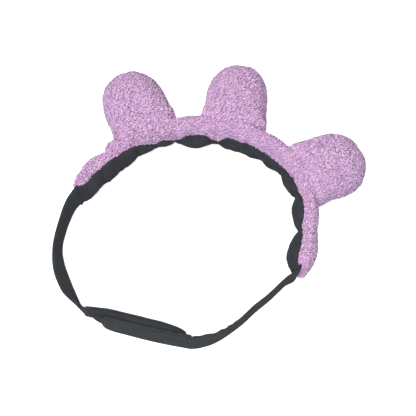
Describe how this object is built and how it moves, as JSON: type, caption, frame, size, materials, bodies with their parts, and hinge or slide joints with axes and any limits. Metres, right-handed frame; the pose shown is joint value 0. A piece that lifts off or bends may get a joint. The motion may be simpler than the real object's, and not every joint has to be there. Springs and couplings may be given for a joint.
{
  "type": "spa headband",
  "caption": "Plush spa headband: stuffed lilac band with round puffs, gathered dark lining, elastic straps and a hook-and-loop closure at the nape.",
  "frame": {"origin": "bottom centre of the bounding box, on the plane the headband's edge rests on", "axes": "+Z along the ring's axis, upwards with the headband lying on its edge; +Y towards the crown's front with the middle puff; -Y towards the nape closure"},
  "size_m": [0.2262, 0.2514, 0.042],
  "materials": {
    "lilac_plush": "heathered short-pile plush",
    "black_knit": "fine matte knit",
    "black_elastic": "woven elastic",
    "loop_pile": "brushed loop pile",
    "hook_tape": "moulded hook tape",
    "fibre_fill": "polyester fibre",
    "lilac_thread": "sewing thread",
    "black_thread": "sewing thread"
  },
  "bodies": {
    "crown": {"crown_front_panel": "lilac_plush", "crown_back_panel": "lilac_plush", "inner_lining": "black_knit", "gather_elastic": "black_elastic", "band_wadding": "fibre_fill", "crown_rim_seam": "lilac_thread", "upper_lining_seam": "black_thread", "lower_lining_seam": "black_thread", "left_strap_anchor": "black_knit", "right_strap_anchor": "black_knit", "left_end_stitching": "lilac_thread", "right_end_stitching": "lilac_thread"},
    "puff_left": {"puff_left_front_panel": "lilac_plush", "puff_left_back_panel": "lilac_plush", "puff_left_rim_seam": "lilac_thread", "puff_left_filling": "fibre_fill"},
    "puff_middle": {"puff_middle_front_panel": "lilac_plush", "puff_middle_back_panel": "lilac_plush", "puff_middle_rim_seam": "lilac_thread", "puff_middle_filling": "fibre_fill"},
    "puff_right": {"puff_right_front_panel": "lilac_plush", "puff_right_back_panel": "lilac_plush", "puff_right_rim_seam": "lilac_thread", "puff_right_filling": "fibre_fill"},
    "left_strap": {"left_strap_casing": "black_knit", "left_strap_elastic": "black_elastic"},
    "loop_pad": {"loop_pad": "black_knit", "loop_tape": "loop_pile", "pad_stitching": "black_thread"},
    "right_strap": {"right_strap_casing": "black_knit", "right_strap_elastic": "black_elastic"},
    "hook_tab": {"hook_tab": "black_knit", "hook_tape": "hook_tape", "tab_stitching": "black_thread"}
  },
  "joints": [
    {"name": "puff_left_nod", "type": "hinge", "parent": "crown", "child": "puff_left", "pos_m": [-0.06624, 0.03772, 0.021], "axis": [-0.7236, -0.6902, 0], "range_deg": [-24, 24], "stiffness_Nm_per_rad": 0.02},
    {"name": "puff_middle_nod", "type": "hinge", "parent": "crown", "child": "puff_middle", "pos_m": [-0.00228, 0.06851, 0.021], "axis": [-0.97, -0.2431, 0], "range_deg": [-24, 24], "stiffness_Nm_per_rad": 0.02},
    {"name": "puff_right_nod", "type": "hinge", "parent": "crown", "child": "puff_right", "pos_m": [0.06865, 0.04618, 0.021], "axis": [-0.7223, 0.6916, 0], "range_deg": [-24, 24], "stiffness_Nm_per_rad": 0.02},
    {"name": "left_strap_swing", "type": "hinge", "parent": "crown", "child": "left_strap", "pos_m": [-0.09056, -0.03876, 0.0185], "axis": [-0.1202, 0.0141, 0.9927], "range_deg": [0, 45]},
    {"name": "loop_pad_fold", "type": "hinge", "parent": "left_strap", "child": "loop_pad", "pos_m": [-0.04087, -0.12176, 0.0169], "axis": [-0.0143, -0.1352, 0.9907], "range_deg": [0, 60]},
    {"name": "right_strap_swing", "type": "hinge", "parent": "crown", "child": "right_strap", "pos_m": [0.09019, -0.03726, 0.0185], "axis": [0.1176, -0.0091, 0.993], "range_deg": [0, 60]},
    {"name": "tab_peel", "type": "hinge", "parent": "right_strap", "child": "hook_tab", "pos_m": [0.04017, -0.11448, 0.01367], "axis": [0.0073, -0.0062, 1], "range_deg": [0, 110]}
  ]
}
